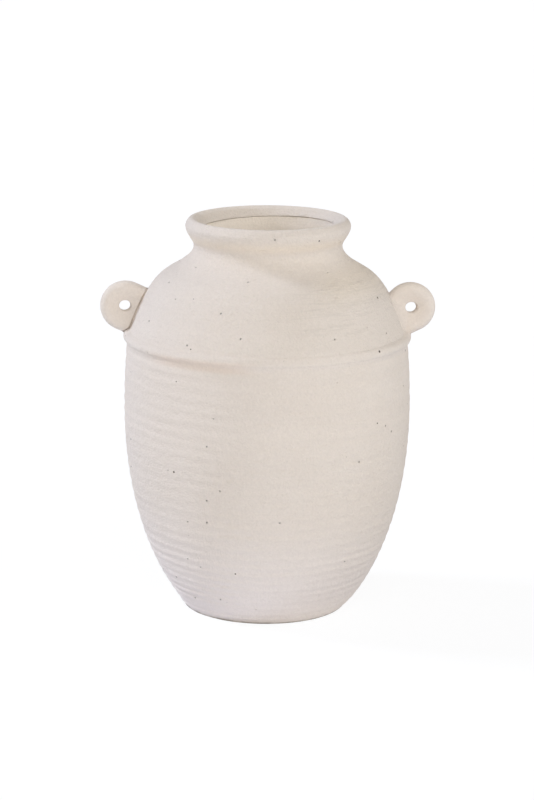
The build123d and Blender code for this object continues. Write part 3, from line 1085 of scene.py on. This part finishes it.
def clay_material(name, finish):
    """Unglazed clay with sand, dragged slip and iron specks, and painted light and shade."""
    material = bpy.data.materials.new(name)
    material.use_nodes = True
    tree = material.node_tree
    shader = tree.nodes["Principled BSDF"]
    shader.inputs["Roughness"].default_value = CLAY_ROUGHNESS
    shader.inputs["Specular IOR Level"].default_value = CLAY_SHEEN
    jar = jar_place(tree, tree.nodes.new("ShaderNodeTexCoord").outputs["Object"])
    inside = add_node(tree, "ShaderNodeAttribute", attribute_name=INSIDE_MARK).outputs["Fac"]
    sand = use_group(tree, sandy_grain, Vector=jar["vector"], Scale=GRAIN_SCALE, Pits=finish.pits)
    streaks = use_group(
        tree, dragged_slip, Vector=jar["vector"], Across=STREAK_ACROSS, Upright=STREAK_UPRIGHT
    )["Height"]

    tone = clay_tone(tree, jar, sand["Tone"], streaks, finish)
    colour = vector_node(tree, "SCALE", {0: body_colour(tree, jar, inside), "Scale": tone})
    colour = specked(tree, jar, colour, finish.speck_share)
    # Painted contact shadow round the foot's edge
    colour = mixed(tree, foot_contact_shade(tree, jar), colour, CONTACT_SHADE_COLOUR)
    tree.links.new(colour, shader.inputs["Base Color"])

    height = clay_relief(tree, jar, inside, sand["Height"], streaks, finish)
    bump = add_node(tree, "ShaderNodeBump", {"Height": height, "Distance": 1.0, "Strength": 1.0})
    tree.links.new(bump.outputs["Normal"], shader.inputs["Normal"])
    return material


# Stage, light and camera

FLOOR_HALF_WIDTH = 40.0
FLOOR_CORNERS = ((-1, -1), (1, -1), (1, 1), (-1, 1))
PAPER_COLOUR = (0.90, 0.92, 0.97, 1.0)
WHITE = (1.0, 1.0, 1.0, 1.0)
WHITE_STRENGTH = 1.045
WHITE_SHARE = 0.86
ROOM_COLOUR = (1.0, 0.86, 0.61, 1.0)
ROOM_STRENGTH = 0.18

# Far lamps: azimuth 0 is the viewer's side and 90 the right, and angles are in degrees
LAMPS = {
    "front fill": {
        "azimuth": 0, "elevation": 14, "spread": 70, "strength": 1.62, "colour": (1.0, 0.957, 0.866),
    },
    "right fill": {
        "azimuth": 80, "elevation": 14, "spread": 90, "strength": 1.46, "colour": (0.992, 1.0, 0.993),
    },
    "top fill": {
        "azimuth": 0, "elevation": 70, "spread": 60, "strength": 0.42, "colour": (0.518, 0.652, 1.0),
    },
    "key": {
        "azimuth": -104, "elevation": 36, "spread": 15, "strength": 2.01, "colour": (0.791, 0.852, 1.0),
    },
    "back fill": {
        "azimuth": -140, "elevation": 42, "spread": 60, "strength": 0.2, "colour": (0.86, 0.92, 1.0),
    },
}

PHOTO_TALL = 800
FOCAL_PIXELS = 2700
PIXEL = 0.7 * MM
CAMERA_PITCH = math.radians(13.3)
CAMERA_ROLL = math.radians(0.37)
AIM_HEIGHT = 208.5 * PIXEL
SENSOR = 36.0


def stage_floor():
    """A wide white floor that shows white to the camera and keeps a faint shadow."""
    mesh = bpy.data.meshes.new("floor")
    corners = [(x * FLOOR_HALF_WIDTH, y * FLOOR_HALF_WIDTH, 0) for x, y in FLOOR_CORNERS]
    mesh.from_pydata(corners, [], [(0, 1, 2, 3)])
    floor = bpy.data.objects.new("floor", mesh)
    bpy.context.collection.objects.link(floor)
    material = bpy.data.materials.new("white floor")
    material.use_nodes = True
    tree = material.node_tree
    tree.nodes.clear()
    paper = add_node(tree, "ShaderNodeBsdfDiffuse", {"Color": PAPER_COLOUR})
    white = add_node(tree, "ShaderNodeEmission", {"Color": WHITE, "Strength": WHITE_STRENGTH})
    path = tree.nodes.new("ShaderNodeLightPath").outputs
    seen = math_node(tree, "MAXIMUM", path["Is Camera Ray"], path["Is Glossy Ray"])
    seen = math_node(tree, "MAXIMUM", seen, path["Is Transmission Ray"])
    share = product(tree, seen, WHITE_SHARE)
    mix = add_node(tree, "ShaderNodeMixShader", {0: share, 1: paper.outputs[0], 2: white.outputs[0]})
    out = tree.nodes.new("ShaderNodeOutputMaterial")
    tree.links.new(mix.outputs[0], out.inputs["Surface"])
    mesh.materials.append(material)


def far_lamp(name, azimuth, elevation, spread, strength, colour):
    """A lamp far away, in a direction round and above the jar."""
    lamp = bpy.data.lights.new(name, "SUN")
    lamp.energy = strength
    lamp.angle = math.radians(spread)
    lamp.color = colour
    holder = bpy.data.objects.new(name, lamp)
    holder.rotation_euler = (math.radians(90 - elevation), 0, math.radians(azimuth))
    bpy.context.collection.objects.link(holder)


def studio_light():
    """Dim warm room light, broad fills, and a cool key from the left and a little behind."""
    world = bpy.data.worlds.new("studio")
    world.use_nodes = True
    room = world.node_tree.nodes["Background"].inputs
    room["Color"].default_value = ROOM_COLOUR
    room["Strength"].default_value = ROOM_STRENGTH
    bpy.context.scene.world = world
    for name, lamp in LAMPS.items():
        far_lamp(name, **lamp)


def photo_camera():
    """A camera at the photograph's angle and distance."""
    lens = bpy.data.cameras.new("camera")
    lens.sensor_width = SENSOR
    lens.lens = FOCAL_PIXELS * SENSOR / PHOTO_TALL
    camera = bpy.data.objects.new("camera", lens)
    away = FOCAL_PIXELS * PIXEL
    camera.location = (0, -away * math.cos(CAMERA_PITCH), AIM_HEIGHT + away * math.sin(CAMERA_PITCH))
    look = Matrix.Rotation(math.pi / 2 - CAMERA_PITCH, 3, "X") @ Matrix.Rotation(CAMERA_ROLL, 3, "Z")
    camera.rotation_euler = look.to_euler()
    bpy.context.collection.objects.link(camera)
    bpy.context.scene.camera = camera


# The jar, piece by piece

clay_tree = turned_clay_tree()
iron_specks = iron_specks_group()
sandy_grain = sandy_grain_group()
dragged_slip = dragged_slip_group()
wall_clay = clay_material("wall clay", WALL_FINISH)
lug_clay = clay_material("lug clay", LUG_FINISH)

turned_sections = {
    "base_disc": base_section(),
    "base_seam_coil": coil_section(),
    "lower_belly": ring_section(base_seam, belly_seam),
    "upper_belly": ring_section(belly_seam, shoulder_seam),
    "shoulder_dome": ring_section(shoulder_seam, neck_seam),
    "shoulder_band": band_section(),
    "neck_collar": ring_section(neck_seam, rim_seam),
    "rim_roll": rim_section(),
}
pieces = {}
for node_name, section in turned_sections.items():
    own_marks = BAND_MARKS if node_name == "shoulder_band" else {}
    pieces[node_name] = turned_piece(node_name + "_clay", section, wall_clay, own_marks)
for ear in (LEFT_EAR, RIGHT_EAR):
    pieces[ear.node] = lug_piece(ear, lug_clay)
for node_name, piece in pieces.items():
    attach(piece, "root")
    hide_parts(node_name)

stage_floor()
studio_light()
photo_camera()
bpy.context.scene.view_settings.view_transform = "Standard"
